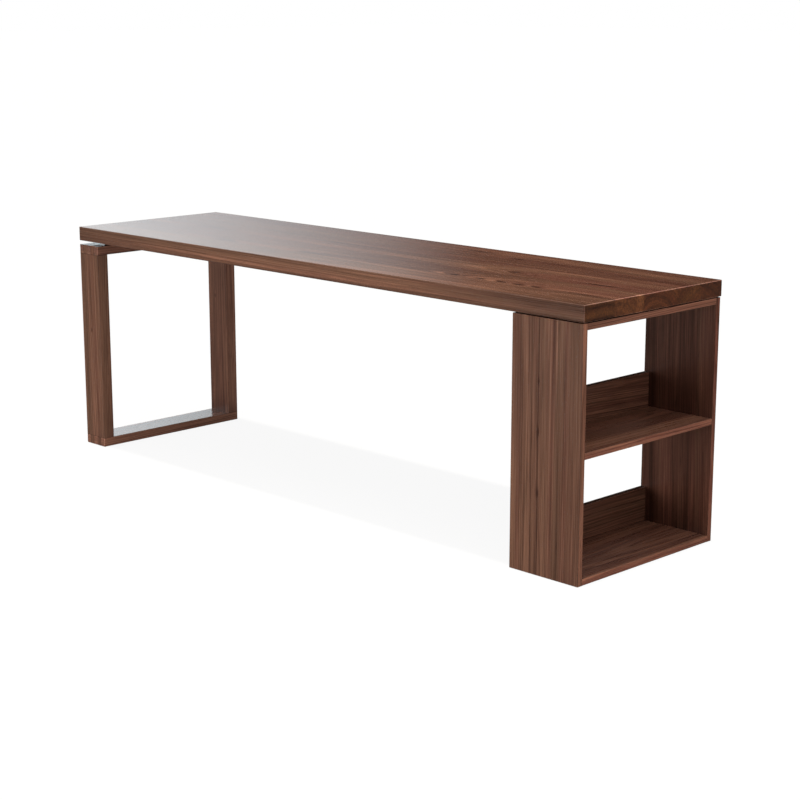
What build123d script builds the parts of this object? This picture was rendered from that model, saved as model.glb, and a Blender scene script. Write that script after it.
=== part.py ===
from build123d import *
import os

# A long walnut desk. An edge-glued top rests on a closed loop leg at one end and on an open
# shelf unit at the other. X runs along the desk towards the shelf unit, the front edge is at
# minus Y, and the origin is on the floor below the middle of the top. Sizes in millimetres.

# Whole desk
LENGTH = 2200.0
DEPTH = 590.0
HEIGHT = 750.0
EDGE_INSET = 1.0
END_INSET = 3.0

# Top, a slab of boards glued edge to edge, counted from the front
TOP_THICKNESS = 46.0
TOP_ARRIS = 1.5
SEAM_SHARES = (0.0, 0.207, 0.414, 0.646, 0.837, 1.0)

# Loop leg: two posts and two rails with comb joints at the four corners
LEG_WIDTH = 100.0
POST_THICKNESS = 40.0
RAIL_THICKNESS = 30.0
LEG_ARRIS = 1.0
FINGER_COUNT = 5

# Spacer that holds the leg away from the top
LEG_GAP = 13.0
LEG_SPACER_SIDE_INSET = 15.0
LEG_SPACER_END_INSET = 90.0

# Shelf unit: three panels and two stops between two upright sides
SHELF_WIDTH = 240.0
PANEL_THICKNESS = 18.0
PANEL_ARRIS = 0.8
STOP_HEIGHT = 100.0
SHELF_GAP = 3.0
SHELF_SPACER_INSET = 24.0

# Flat-headed connector bolts and threaded inserts that hold the leg
LEG_BOLT_DIAMETER = 8.0
LEG_HEAD_DIAMETER = 20.0
LEG_HEAD_HEIGHT = 3.0
LEG_SOCKET_ACROSS = 5.0
LEG_SOCKET_DEPTH = 2.2
LEG_INSERT_DIAMETER = 12.0
LEG_INSERT_LENGTH = 20.0
LEG_BOLT_ROWS = 2
LEG_BOLT_COLUMNS = 2
LEG_BOLT_END_MARGIN = 21.0
LEG_BOLT_SIDE_MARGIN = 16.0

# Flat-headed connector bolts and threaded inserts that hold the shelf unit
SHELF_BOLT_DIAMETER = 6.0
SHELF_HEAD_DIAMETER = 17.0
SHELF_HEAD_HEIGHT = 2.5
SHELF_SOCKET_ACROSS = 4.0
SHELF_SOCKET_DEPTH = 1.8
SHELF_INSERT_DIAMETER = 10.0
SHELF_INSERT_LENGTH = 15.0
SHELF_BOLT_ROWS = 2
SHELF_BOLT_COLUMNS = 2
SHELF_BOLT_END_MARGIN = 86.0
SHELF_BOLT_SIDE_MARGIN = 36.0

# Room round the bolts, and the slots that let the wide top swell and shrink
BOLT_CLEARANCE = 0.25
INSERT_CLEARANCE = 0.1
INSERT_TIP_ROOM = 2.0
MOVEMENT_SLOT = 6.0

# Lens-shaped biscuits in the shelf unit's joints
BISCUIT_LENGTH = 56.0
BISCUIT_WIDTH = 23.0
BISCUIT_THICKNESS = 4.0
BISCUIT_CLEARANCE = 0.1
BISCUITS_PER_PANEL = 2
PANEL_BISCUIT_MARGIN = 58.0

# Thin square pads stuck to the underside
PAD_SIDE = 25.0
PAD_THICKNESS = 2.0
LEG_PAD_END_INSET = 45.0
SHELF_PAD_INSET = 18.0

OVERRUN = 1.0

# Levels and places that follow from the sizes above
half_length = LENGTH / 2
half_depth = DEPTH / 2
top_underside = HEIGHT - TOP_THICKNESS
wood_bottom = PAD_THICKNESS
outer_y = half_depth - EDGE_INSET

leg_left = -half_length
leg_right = leg_left + LEG_WIDTH
leg_middle = leg_left + LEG_WIDTH / 2
leg_top = top_underside - LEG_GAP
rail_underside = leg_top - RAIL_THICKNESS
post_inner_y = outer_y - POST_THICKNESS

shelf_right = half_length - END_INSET
shelf_left = shelf_right - SHELF_WIDTH
shelf_top = top_underside - SHELF_GAP
side_inner_y = outer_y - PANEL_THICKNESS
bottom_panel_z = wood_bottom
top_panel_z = shelf_top - PANEL_THICKNESS
middle_panel_z = (bottom_panel_z + top_panel_z) / 2


def block(x0, x1, y0, y1, z0, z1):
    """A rectangular solid between the given limits."""
    middle = Pos((x0 + x1) / 2, (y0 + y1) / 2, (z0 + z1) / 2)
    return middle * Box(x1 - x0, y1 - y0, z1 - z0)


def rod(diameter, length, z0=0.0):
    """An upright rod on the Z axis, its lower end at the given height."""
    return Pos(0, 0, z0) * Cylinder(
        diameter / 2, length, align=(Align.CENTER, Align.CENTER, Align.MIN)
    )


def spread(low, high, count):
    """Places spaced evenly from low to high."""
    if count == 1:
        return [(low + high) / 2]
    step = (high - low) / (count - 1)
    return [low + i * step for i in range(count)]


def ease(edges, size):
    """Planes the given edges off at 45 degrees, as a block plane leaves them."""
    return chamfer(edges, min(size, PANEL_THICKNESS / 4))


def slot_tool(diameter, travel, length, z0):
    """An upright cutter for a hole, drawn out along Y by the travel."""
    hole = rod(diameter, length, z0)
    if travel <= 0:
        return hole
    middle = Pos(0, 0, z0) * Box(
        diameter, travel, length, align=(Align.CENTER, Align.CENTER, Align.MIN)
    )
    return middle + Pos(0, travel / 2, 0) * hole + Pos(0, -travel / 2, 0) * hole


def cut_at(solid, tool, places):
    """Cuts the tool out of the solid at each place."""
    for place in places:
        solid = solid - Pos(*place) * tool
    return solid


def group(solids):
    """Separate solids that share one node."""
    return Compound(children=list(solids))


class BoltSet:
    """One kind of bolt joint, from the flat head below the wood to the insert in the top."""

    def __init__(self, diameter, head, socket, insert, grip_bottom):
        self.diameter = diameter
        self.head_diameter, self.head_height = head
        self.socket_across, self.socket_depth = socket
        self.insert_diameter, self.insert_length = insert
        self.bore_diameter = diameter + 2 * BOLT_CLEARANCE
        self.grip_bottom = grip_bottom

    def bolt(self):
        """A flat-headed bolt with a hexagon socket, its shank pointing up."""
        head_z = self.grip_bottom - self.head_height
        head = rod(self.head_diameter, self.head_height, head_z)
        socket = extrude(
            RegularPolygon(self.socket_across / 2, 6, major_radius=False), self.socket_depth
        )
        tip_z = top_underside + self.insert_length - BOLT_CLEARANCE
        shank = rod(self.diameter, tip_z - self.grip_bottom, self.grip_bottom)
        return head - Pos(0, 0, head_z) * socket + shank

    def insert(self):
        """A threaded sleeve, seated in the underside of the top."""
        sleeve = rod(self.insert_diameter, self.insert_length, top_underside)
        return sleeve - rod(self.bore_diameter, self.insert_length, top_underside)

    def insert_hole(self):
        """The blind hole in the top that holds the insert."""
        depth = self.insert_length + INSERT_TIP_ROOM + OVERRUN
        return rod(self.insert_diameter + 2 * INSERT_CLEARANCE, depth, top_underside - OVERRUN)

    def grip_hole(self):
        """The way through the wood that the bolt holds, slotted along Y."""
        length = top_underside - self.grip_bottom + 2 * OVERRUN
        return slot_tool(self.bore_diameter, MOVEMENT_SLOT, length, self.grip_bottom - OVERRUN)


leg_bolt_set = BoltSet(
    LEG_BOLT_DIAMETER,
    (LEG_HEAD_DIAMETER, LEG_HEAD_HEIGHT),
    (LEG_SOCKET_ACROSS, LEG_SOCKET_DEPTH),
    (LEG_INSERT_DIAMETER, LEG_INSERT_LENGTH),
    rail_underside,
)
shelf_bolt_set = BoltSet(
    SHELF_BOLT_DIAMETER,
    (SHELF_HEAD_DIAMETER, SHELF_HEAD_HEIGHT),
    (SHELF_SOCKET_ACROSS, SHELF_SOCKET_DEPTH),
    (SHELF_INSERT_DIAMETER, SHELF_INSERT_LENGTH),
    top_panel_z,
)

# The spacers' outlines
leg_spacer_x = (leg_left + LEG_SPACER_SIDE_INSET, leg_right - LEG_SPACER_SIDE_INSET)
leg_spacer_y = outer_y - LEG_SPACER_END_INSET
shelf_spacer_x = (shelf_left + SHELF_SPACER_INSET, shelf_right - SHELF_SPACER_INSET)
shelf_spacer_y = outer_y - SHELF_SPACER_INSET

# Where the bolts stand
leg_bolt_places = [
    (x, y, 0)
    for x in spread(
        leg_spacer_x[0] + LEG_BOLT_SIDE_MARGIN,
        leg_spacer_x[1] - LEG_BOLT_SIDE_MARGIN,
        LEG_BOLT_COLUMNS,
    )
    for y in spread(
        LEG_BOLT_END_MARGIN - leg_spacer_y, leg_spacer_y - LEG_BOLT_END_MARGIN, LEG_BOLT_ROWS
    )
]
shelf_bolt_places = [
    (x, y, 0)
    for x in spread(
        shelf_spacer_x[0] + SHELF_BOLT_SIDE_MARGIN,
        shelf_spacer_x[1] - SHELF_BOLT_SIDE_MARGIN,
        SHELF_BOLT_COLUMNS,
    )
    for y in spread(
        SHELF_BOLT_END_MARGIN - shelf_spacer_y,
        shelf_spacer_y - SHELF_BOLT_END_MARGIN,
        SHELF_BOLT_ROWS,
    )
]

# Where the pads lie: two below the leg's lower rail, four below the shelf unit's lowest panel
leg_pad_y = outer_y - LEG_PAD_END_INSET - PAD_SIDE / 2
shelf_pad_y = side_inner_y - SHELF_PAD_INSET - PAD_SIDE / 2
shelf_pad_x = SHELF_PAD_INSET + PAD_SIDE / 2
pad_places = [(leg_middle, y, 0) for y in (-leg_pad_y, leg_pad_y)]
pad_places += [
    (x, y, 0)
    for x in (shelf_left + shelf_pad_x, shelf_right - shelf_pad_x)
    for y in (-shelf_pad_y, shelf_pad_y)
]

# Where the biscuits lie, as (x, z) on the inner faces of the shelf unit's sides
shelf_panel_levels = {
    "shelf_bottom_panel": bottom_panel_z,
    "shelf_middle_panel": middle_panel_z,
    "shelf_top_panel": top_panel_z,
}
stop_levels = {"shelf_lower_stop": bottom_panel_z, "shelf_upper_stop": middle_panel_z}
panel_biscuit_x = spread(
    shelf_left + PANEL_BISCUIT_MARGIN, shelf_right - PANEL_BISCUIT_MARGIN, BISCUITS_PER_PANEL
)


def panel_biscuit_places(panel_z):
    """Biscuit places in one panel, midway through its thickness."""
    return [(x, panel_z + PANEL_THICKNESS / 2) for x in panel_biscuit_x]


def stop_biscuit_place(panel_z):
    """The biscuit place in the stop that stands on one panel, at the stop's middle."""
    return (shelf_left + PANEL_THICKNESS / 2, panel_z + PANEL_THICKNESS + STOP_HEIGHT / 2)


def biscuit(grown=0.0):
    """A flat lens between two arcs, level and along X, grown all round for its slot."""
    tip = BISCUIT_LENGTH / 2 + grown
    crown = BISCUIT_WIDTH / 2 + grown
    outline = ThreePointArc((-tip, 0), (0, crown), (tip, 0))
    outline = outline + ThreePointArc((tip, 0), (0, -crown), (-tip, 0))
    return extrude(make_face(outline), BISCUIT_THICKNESS / 2 + grown, both=True)


def rear_biscuits(panel_places, stop_places, grown=0.0):
    """Biscuits or slot cutters on the rear side's inner face; those of the stops stand upright."""
    level = biscuit(grown)
    upright = Rot(0, 90, 0) * level
    found = [Pos(x, side_inner_y, z) * level for x, z in panel_places]
    return found + [Pos(x, side_inner_y, z) * upright for x, z in stop_places]


def cut_slots(solid, panel_places, stop_places, sides=(-1, 1)):
    """Cuts the biscuit slots of the given places at one or both sides."""
    for tool in rear_biscuits(panel_places, stop_places, BISCUIT_CLEARANCE):
        for side in sides:
            solid = solid - (tool if side > 0 else mirror(tool, Plane.XZ))
    return solid


all_panel_places = [p for z in shelf_panel_levels.values() for p in panel_biscuit_places(z)]
all_stop_places = [stop_biscuit_place(z) for z in stop_levels.values()]


def floor_pad():
    """One square pad, lying on the floor."""
    return block(-PAD_SIDE / 2, PAD_SIDE / 2, -PAD_SIDE / 2, PAD_SIDE / 2, 0, PAD_THICKNESS)


def top_slab():
    """The whole top with its outer arrises planed off and the insert holes drilled from below."""
    slab = block(-half_length, half_length, -half_depth, half_depth, top_underside, HEIGHT)
    slab = ease(slab.edges(), TOP_ARRIS)
    slab = cut_at(slab, leg_bolt_set.insert_hole(), leg_bolt_places)
    return cut_at(slab, shelf_bolt_set.insert_hole(), shelf_bolt_places)


def top_board(slab, number):
    """One board, the slab between two glue seams."""
    y0 = -half_depth + DEPTH * SEAM_SHARES[number]
    y1 = -half_depth + DEPTH * SEAM_SHARES[number + 1]
    return slab & block(-half_length, half_length, y0, y1, top_underside, HEIGHT)


def leg_loop():
    """The loop before it is parted: a frame with eased arrises, square to the floor."""
    outer = block(leg_left, leg_right, -outer_y, outer_y, wood_bottom, leg_top)
    window = block(
        leg_left,
        leg_right,
        -post_inner_y,
        post_inner_y,
        wood_bottom + RAIL_THICKNESS,
        rail_underside,
    )
    loop = ease(outer.edges(), LEG_ARRIS) - window
    rims = [e for e in loop.edges() if e.bounding_box().size.X < LEG_ARRIS and on_window(e)]
    return ease(rims, LEG_ARRIS)


def on_window(edge):
    """Whether an edge runs round the loop's window."""
    box = edge.bounding_box()
    inside_y = max(abs(box.min.Y), abs(box.max.Y)) < post_inner_y + LEG_ARRIS / 2
    low = wood_bottom + RAIL_THICKNESS - LEG_ARRIS / 2
    high = rail_underside + LEG_ARRIS / 2
    return inside_y and box.min.Z > low and box.max.Z < high


def comb_cells(owner):
    """Comb fingers of one owner, 0 for the rails and 1 for the posts, at all four corners."""
    finger = LEG_WIDTH / FINGER_COUNT
    cells = []
    for i in range(FINGER_COUNT):
        if i % 2 != owner:
            continue
        x0 = leg_left + i * finger
        for y0, y1 in ((-outer_y, -post_inner_y), (post_inner_y, outer_y)):
            for z0, z1 in ((wood_bottom, wood_bottom + RAIL_THICKNESS), (rail_underside, leg_top)):
                cells.append(block(x0, x0 + finger, y0, y1, z0, z1))
    return cells


def leg_post(loop, side):
    """A post with its fingers, at the front for side minus one and at the rear for plus one."""
    y0, y1 = sorted((side * post_inner_y, side * outer_y))
    region = block(leg_left, leg_right, y0, y1, wood_bottom + RAIL_THICKNESS, rail_underside)
    own_end = block(leg_left, leg_right, y0, y1, wood_bottom, leg_top)
    for cell in comb_cells(1):
        region = region + (cell & own_end)
    return loop & region


def leg_rail(loop, z0):
    """A rail with its fingers, resting at the given height."""
    z1 = z0 + RAIL_THICKNESS
    region = block(leg_left, leg_right, -post_inner_y, post_inner_y, z0, z1)
    own_level = block(leg_left, leg_right, -outer_y, outer_y, z0, z1)
    for cell in comb_cells(0):
        region = region + (cell & own_level)
    return loop & region


def leg_top_rail(loop):
    """The upper rail, slotted for the bolts."""
    return cut_at(leg_rail(loop, rail_underside), leg_bolt_set.grip_hole(), leg_bolt_places)


def leg_bottom_rail(loop):
    """The lower rail."""
    return leg_rail(loop, wood_bottom)


def leg_spacer():
    """The batten between the leg and the top, set back so that it hardly shows."""
    batten = block(*leg_spacer_x, -leg_spacer_y, leg_spacer_y, leg_top, top_underside)
    return cut_at(batten, leg_bolt_set.grip_hole(), leg_bolt_places)


def shelf_side(side):
    """An upright side, full height, at the front for side minus one."""
    y0, y1 = sorted((side * side_inner_y, side * outer_y))
    panel = block(shelf_left, shelf_right, y0, y1, wood_bottom, shelf_top)
    panel = ease(panel.edges().filter_by(Axis.Z), PANEL_ARRIS)
    return cut_slots(panel, all_panel_places, all_stop_places, (side,))


def shelf_panel(z0):
    """A level panel between the sides, its two long edges eased."""
    panel = block(shelf_left, shelf_right, -side_inner_y, side_inner_y, z0, z0 + PANEL_THICKNESS)
    panel = ease(panel.edges().filter_by(Axis.Y), PANEL_ARRIS)
    return cut_slots(panel, panel_biscuit_places(z0), [])


def shelf_top_panel():
    """The highest panel, slotted for the bolts."""
    return cut_at(shelf_panel(top_panel_z), shelf_bolt_set.grip_hole(), shelf_bolt_places)


def shelf_stop(panel_z):
    """A low upright board along a panel's edge on the knee side."""
    z0 = panel_z + PANEL_THICKNESS
    board = block(
        shelf_left,
        shelf_left + PANEL_THICKNESS,
        -side_inner_y,
        side_inner_y,
        z0,
        z0 + STOP_HEIGHT,
    )
    upper_edges = board.edges().filter_by(Axis.Y).group_by(Axis.Z)[-1]
    board = ease(upper_edges, PANEL_ARRIS)
    return cut_slots(board, [], [stop_biscuit_place(panel_z)])


def shelf_spacer():
    """The thin sheet that makes the shadow gap below the top."""
    sheet = block(*shelf_spacer_x, -shelf_spacer_y, shelf_spacer_y, shelf_top, top_underside)
    return cut_at(sheet, shelf_bolt_set.grip_hole(), shelf_bolt_places)


def case_biscuits():
    """All the biscuits of the shelf unit, at the front and rear ends of its panels and stops."""
    rear = rear_biscuits(all_panel_places, all_stop_places)
    return group(rear + [mirror(one, Plane.XZ) for one in rear])


def placed(solid, places):
    """Copies of one solid at each place, in one node."""
    return group(Pos(*place) * solid for place in places)


def build_desk():
    """Every node of the desk, by name."""
    slab = top_slab()
    loop = leg_loop()
    nodes = {f"top_board_{i + 1}": top_board(slab, i) for i in range(len(SEAM_SHARES) - 1)}
    nodes["leg_front_post"] = leg_post(loop, -1)
    nodes["leg_rear_post"] = leg_post(loop, 1)
    nodes["leg_top_rail"] = leg_top_rail(loop)
    nodes["leg_bottom_rail"] = leg_bottom_rail(loop)
    nodes["leg_spacer"] = leg_spacer()
    nodes["leg_bolts"] = placed(leg_bolt_set.bolt(), leg_bolt_places)
    nodes["leg_inserts"] = placed(leg_bolt_set.insert(), leg_bolt_places)
    nodes["shelf_front_side"] = shelf_side(-1)
    nodes["shelf_rear_side"] = shelf_side(1)
    nodes["shelf_top_panel"] = shelf_top_panel()
    nodes["shelf_middle_panel"] = shelf_panel(middle_panel_z)
    nodes["shelf_bottom_panel"] = shelf_panel(bottom_panel_z)
    for name, panel_z in stop_levels.items():
        nodes[name] = shelf_stop(panel_z)
    nodes["shelf_spacer"] = shelf_spacer()
    nodes["shelf_bolts"] = placed(shelf_bolt_set.bolt(), shelf_bolt_places)
    nodes["shelf_inserts"] = placed(shelf_bolt_set.insert(), shelf_bolt_places)
    nodes["case_biscuits"] = case_biscuits()
    nodes["floor_pads"] = placed(floor_pad(), pad_places)
    return nodes


os.makedirs("parts", exist_ok=True)
for node_name, shape in build_desk().items():
    export_step(shape, f"parts/{node_name}.step")
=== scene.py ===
"""Looks of a long walnut desk: solid-wood figure on every board, hardware finishes and a pale studio."""

import math
from collections import namedtuple
from functools import partial, reduce

import bpy
import numpy as np
from bpy.props import FloatProperty, FloatVectorProperty, PointerProperty
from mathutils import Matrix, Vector


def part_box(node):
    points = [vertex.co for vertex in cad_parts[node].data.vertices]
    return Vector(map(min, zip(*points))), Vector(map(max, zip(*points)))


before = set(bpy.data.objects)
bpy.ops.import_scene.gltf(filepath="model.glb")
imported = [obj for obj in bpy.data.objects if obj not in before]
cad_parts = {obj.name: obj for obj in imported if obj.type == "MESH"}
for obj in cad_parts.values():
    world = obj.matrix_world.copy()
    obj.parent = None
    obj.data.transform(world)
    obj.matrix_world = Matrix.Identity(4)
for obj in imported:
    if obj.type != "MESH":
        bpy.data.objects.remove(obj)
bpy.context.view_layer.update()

bl_info = {
    "name": "Walnut Desk Finish",
    "version": (1, 0, 0),
    "blender": (4, 5, 0),
    "location": "View3D > Sidebar > Desk",
    "description": "Wood figure, hardware finishes and studio for a long walnut desk",
    "category": "Material",
}

# How a board is turned so that its grain, which runs along the axis named, lies along X
GRAIN_TURNS = {"X": (0.0, 0.0, 0.0), "Y": (0.0, 0.0, -math.pi / 2), "Z": (0.0, math.pi / 2, 0.0)}

# How each board was sawn from its log. The pith is the log's middle, given across the grain from
# the board's own middle in metres; the lean of the log to the board is in degrees. The tone goes
# from dark to light and the hue from red to olive, both about zero. Wide is the strength of its
# broad bands and late that of its late wood and dark threads. The seed picks the noise.
Cut = namedtuple("Cut", "grain pith lean tone hue wide late seed")
CUTS = {
    "top_board_1": Cut("X", (0.01, -0.19), (0.0, 0.0), 0.04, 0.35, 0.5, 0.4, 2.9),
    "top_board_2": Cut("X", (-0.041, -0.084), (0.0, 0.0), 0.02, 0.05, 0.5, 0.7, 4.2),
    "top_board_3": Cut("X", (-0.016, -0.095), (0.0, 0.0), -0.01, -0.05, 0.5, 0.7, 8.9),
    "top_board_4": Cut("X", (0.09, -0.12), (0.5, 0.8), -0.02, -0.1, 0.6, 0.7, 12.3),
    "top_board_5": Cut("X", (-0.08, -0.15), (-0.6, 0.3), -0.01, -0.2, 0.6, 0.7, 15.8),
    "leg_front_post": Cut("Z", (0.08, 0.09), (0.5, 0.7), 0.08, 0.25, 0.6, 0.7, 21.4),
    "leg_rear_post": Cut("Z", (0.11, -0.06), (-0.4, 0.6), 0.09, -0.25, 0.6, 0.8, 25.1),
    "leg_top_rail": Cut("Y", (0.03, -0.3), (0.4, -0.6), 0.04, 0.0, 0.6, 0.8, 31.6),
    "leg_bottom_rail": Cut("Y", (-0.03, -0.32), (0.6, 0.5), 0.35, -0.35, 0.6, 0.8, 34.9),
    "shelf_front_side": Cut("Z", (0.03, 0.14), (0.2, -0.1), 0.02, 0.25, 0.6, 0.6, 41.3),
    "shelf_rear_side": Cut("Z", (-0.04, 0.15), (0.6, 0.4), -0.1, -0.4, 0.8, 0.8, 44.6),
    "shelf_top_panel": Cut("Y", (0.02, -0.16), (0.4, 0.5), 0.02, 0.0, 0.8, 1.0, 51.2),
    "shelf_middle_panel": Cut("Y", (0.03, -0.13), (-0.5, 0.4), 0.1, -0.15, 0.8, 0.8, 54.7),
    "shelf_bottom_panel": Cut("Y", (-0.03, -0.14), (0.5, -0.6), -0.02, -0.25, 0.8, 0.8, 57.3),
    "shelf_lower_stop": Cut("Y", (0.09, 0.06), (0.7, 0.4), 0.07, 0.0, 0.8, 1.0, 61.5),
    "shelf_upper_stop": Cut("Y", (0.08, 0.08), (-0.5, 0.6), 0.06, -0.05, 0.8, 1.0, 64.8),
}
# Piths that rise towards the board's face: by how much, and from where to where along the grain
RISES = {"top_board_2": (0.026, 0.38, 0.9), "top_board_3": (0.012, 0.45, 0.75)}
# Small knots, as places along and across the grain from the board's middle, and their size
FRONT_KNOTS = [(0.0445, 0.005), (-0.1225, 0.0058), (0.1795, 0.0035)]
KNOTS = {
    "shelf_front_side": [((along, -0.009, 0.025), size) for along, size in FRONT_KNOTS],
    "leg_front_post": [((0.056, -0.02, 0.0), 0.006)],
    "leg_rear_post": [((0.11, -0.02, 0.015), 0.006)],
}
# The short dark ticks in a row on the second board: their places, reach and tone
TICK_PLACES = [(0.52, -0.047), (0.615, -0.049), (0.7, -0.051), (0.765, -0.053), (0.823, -0.055)]
TICK_REACH = (0.015, 0.007, 1.0)
TICK_TONE = -0.85
# Single streaks, with patches of painted shade and painted light among them where marked: middle
# along and across the grain, reach the same three ways, and tone
STREAKS_AND_PAINTED_SHADING = {
    "top_board_1": [
        ((1.0, 0.0, 0.012), (0.35, 1.0, 0.007), -0.27),
        # With the next, a thin darkening along the lower front arris and the underside
        ((1.05, 0.0, -0.021), (0.3, 1.0, 0.006), -0.36),
        ((0.05, 0.0, -0.021), (0.5, 1.0, 0.005), -0.4),
        ((-0.12, 0.0, -0.005), (0.45, 1.0, 0.007), 0.19),
        ((0.35, 0.0, 0.005), (0.4, 1.0, 0.005), -0.11),
        # Painted shade: dims the front upper arris
        ((0.15, -0.062, 0.02), (0.7, 0.005, 0.006), -0.26),
        # Darker towards the right end of the front face
        ((1.05, 0.0, -0.01), (0.2, 1.0, 0.02), -0.12),
        ((0.6, -0.04, 0.04), (0.6, 0.018, 0.035), 0.11),
    ],
    "top_board_2": [
        *[((*place, 0.0), TICK_REACH, TICK_TONE) for place in TICK_PLACES],
        ((0.99, -0.056, 0.0), (0.07, 0.006, 1.0), -0.65),
        ((0.465, -0.05, 0.0), (0.035, 0.007, 1.0), 0.32),
        ((1.1, 0.044, 0.0), (0.01, 0.014, 1.0), 0.32),
        ((0.57, -0.054, 0.0), (0.02, 0.007, 1.0), 0.32),
        ((0.66, -0.056, 0.0), (0.018, 0.007, 1.0), 0.32),
    ],
    "top_board_3": [
        ((0.5, -0.027, 0.0), (0.08, 0.005, 1.0), 0.25),
        ((0.615, -0.027, 0.0), (0.018, 0.006, 1.0), -0.65),
        ((0.93, -0.034, 0.0), (0.055, 0.007, 1.0), -0.8),
        ((0.93, -0.024, 0.0), (0.05, 0.005, 1.0), 0.25),
        ((0.81, 0.062, 0.0), (0.14, 0.006, 1.0), 0.25),
    ],
    "top_board_4": [
        ((0.45, 0.05, 0.0), (0.028, 0.008, 1.0), -0.4),
        ((0.81, 0.043, 0.0), (0.12, 0.006, 1.0), 0.25),
    ],
    "top_board_5": [((0.265, -0.018, 0.0), (0.05, 0.01, 1.0), -0.4)],
    "leg_front_post": [
        # Painted shade: darkens the right face, under the worktop
        ((0.0, 0.0, -0.056), (2.0, 2.0, 0.013), -0.2),
        # Painted light: lighter towards the foot, as from the floor below
        ((-0.2, 0.0, 0.0), (0.3, 2.0, 2.0), 0.07),
    ],
    "leg_rear_post": [
        # Painted light: lighter low on the right face, as from the floor below
        ((-0.22, 0.0, -0.05), (0.25, 2.0, 0.015), 0.18),
        # Painted shade: darkens the foot of the post
        ((-0.34, 0.0, 0.0), (0.05, 2.0, 2.0), -0.25),
    ],
    "shelf_middle_panel": [((0.0, -0.08, 0.0), (2.0, 0.035, 1.0), 0.22)],
    "shelf_bottom_panel": [((0.0, -0.08, 0.0), (2.0, 0.035, 1.0), 0.12)],
    # Painted shade: darkens the upper part near the knee-side edge, inside the upper compartment
    "shelf_rear_side": [((0.3, 0.0, 0.12), (0.28, 1.0, 0.14), -0.33)],
    "shelf_front_side": [
        ((0.0, 0.0, 0.098), (2.0, 1.0, 0.022), -0.13),
        ((0.0, 0.0, 0.062), (1.0, 1.0, 0.009), 0.16),
        ((0.0, 0.0, 0.066), (1.0, 1.0, 0.0025), 0.12),
        ((0.0, 0.0, 0.025), (1.0, 1.0, 0.0022), -0.25),
        ((0.0, 0.0, 0.012), (1.0, 1.0, 0.006), 0.08),
        ((0.28, 0.0, -0.026), (0.16, 1.0, 0.005), -0.3),
        ((0.28, 0.0, -0.037), (0.12, 1.0, 0.004), 0.18),
        ((-0.2, 0.0, -0.082), (0.17, 1.0, 0.003), 0.18),
        ((0.15, 0.0, 0.083), (0.22, 1.0, 0.014), -0.16),
        ((0.0, 0.0, -0.03), (1.0, 1.0, 0.01), -0.18),
        ((0.0, 0.0, -0.055), (1.0, 1.0, 0.018), -0.09),
        ((-0.1, 0.0, -0.112), (0.6, 1.0, 0.014), 0.1),
    ],
}
# Tint of sawn ends, and those of the boards where it differs
END_TINT = (0.72, 0.56, 0.33)
END_TINTS = {
    "top_board_1": (0.78, 0.55, 0.27),
    "top_board_2": (0.82, 0.6, 0.3),
    "top_board_3": (0.85, 0.58, 0.29),
    "top_board_4": (0.94, 0.69, 0.32),
    "top_board_5": (0.62, 0.41, 0.22),
    "leg_top_rail": (1.25, 1.25, 1.25),
    "leg_bottom_rail": (1.1, 1.05, 1.05),
}
# Boards with a duller finish than the common one: its roughness and its specular level
DULLER = {
    "leg_rear_post": (0.32, 0.4),
    "shelf_rear_side": (0.32, 0.2),
    "shelf_middle_panel": (0.28, 0.28),
    "shelf_bottom_panel": (0.28, 0.25),
}
TOP_BOARDS = [name for name in CUTS if name.startswith("top_board")]
LEG_MEMBERS = ["leg_front_post", "leg_rear_post", "leg_top_rail", "leg_bottom_rail"]
SHELF_MEMBERS = [name for name in CUTS if name.startswith("shelf_")]
# Boards whose long edges, which face along X, carry a lighter lipping: partly its own paler tone,
# partly painted light from the open side
LIPPED_WITH_PAINTED_LIGHT = [name for name in SHELF_MEMBERS if name.endswith(("side", "panel"))]
# Fingers across each comb joint of the leg
FINGER_COUNT = 5

# What the node groups say of a place on a board, and the colours that they mix
FIGURE_MASKS = ("Rings", "Bands", "Lines", "Fibres", "Pores", "Mottle", "Warmth")
FACING_MASKS = ("End Grain", "Edge", "Arris", "End Arris")
WALNUT_COLOURS = ("Dark", "Red", "Olive", "Light")
WHITE = (1.0, 1.0, 1.0, 1.0)
ORIGIN = (0.0, 0.0, 0.0)
# Tints of the lippings and of the planed arrises, along the grain and across it. The lippings are
# lighter partly as their own paler tone and partly as painted light from the open side; the arrises
# along the grain are darkened as painted shade, and those across it lightened as a painted highlight
PAINTED_LIGHT_AND_LIPPING_TINTS = {
    # Lipping: partly its own paler tone, partly painted light from the open side
    "Edge": (1.82, 1.64, 1.58, 1.0),
    # Painted shade: dims the planed arrises along the grain
    "Arris": (0.8, 0.8, 0.8, 1.0),
    # Painted highlight: a light, bluish line on the arrises across the grain
    "End Arris": (2.0, 2.1, 2.3, 1.0),
}
# The shares by which pores, knots and glue lines darken the wood
DARKENING_SHARES = {"Pores": 0.45, "Knot": 0.8, "Joint": 0.8}
# How much rougher the finish is in pores, on sawn ends, on arrises and by the fibres
ROUGHENING = {"Pores": 0.18, "End Grain": 0.16, "Arris": 0.3, "Fibres": 0.1}
# How much fibres and rings tell in the relief, beside pores
FIBRE_HEIGHT = 0.35
RING_DEPTH = 0.25

# The noises of a log: the scale of each in cycles a metre, its detail and roughness, and how fast
# it changes along the grain, as a share of its pace across it
Noise = namedtuple("Noise", "scale detail roughness along_share", defaults=[1.0])
SLOW_BEND = Noise(5.0, 1.5, 0.45, 0.14)
QUICK_BEND = Noise(55.0, 2.0, 0.55, 0.05)
THREADS = Noise(85.0, 1.0, 0.5, 0.03)
THREAD_PLACES = Noise(40.0, 1.0, 0.5, 0.1)
FIBRES = Noise(330.0, 3.0, 0.65, 0.01)
PORES = Noise(1500.0, 1.0, 0.4, 0.045)
MOTTLE = Noise(190.0, 2.0, 0.65)
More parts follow.
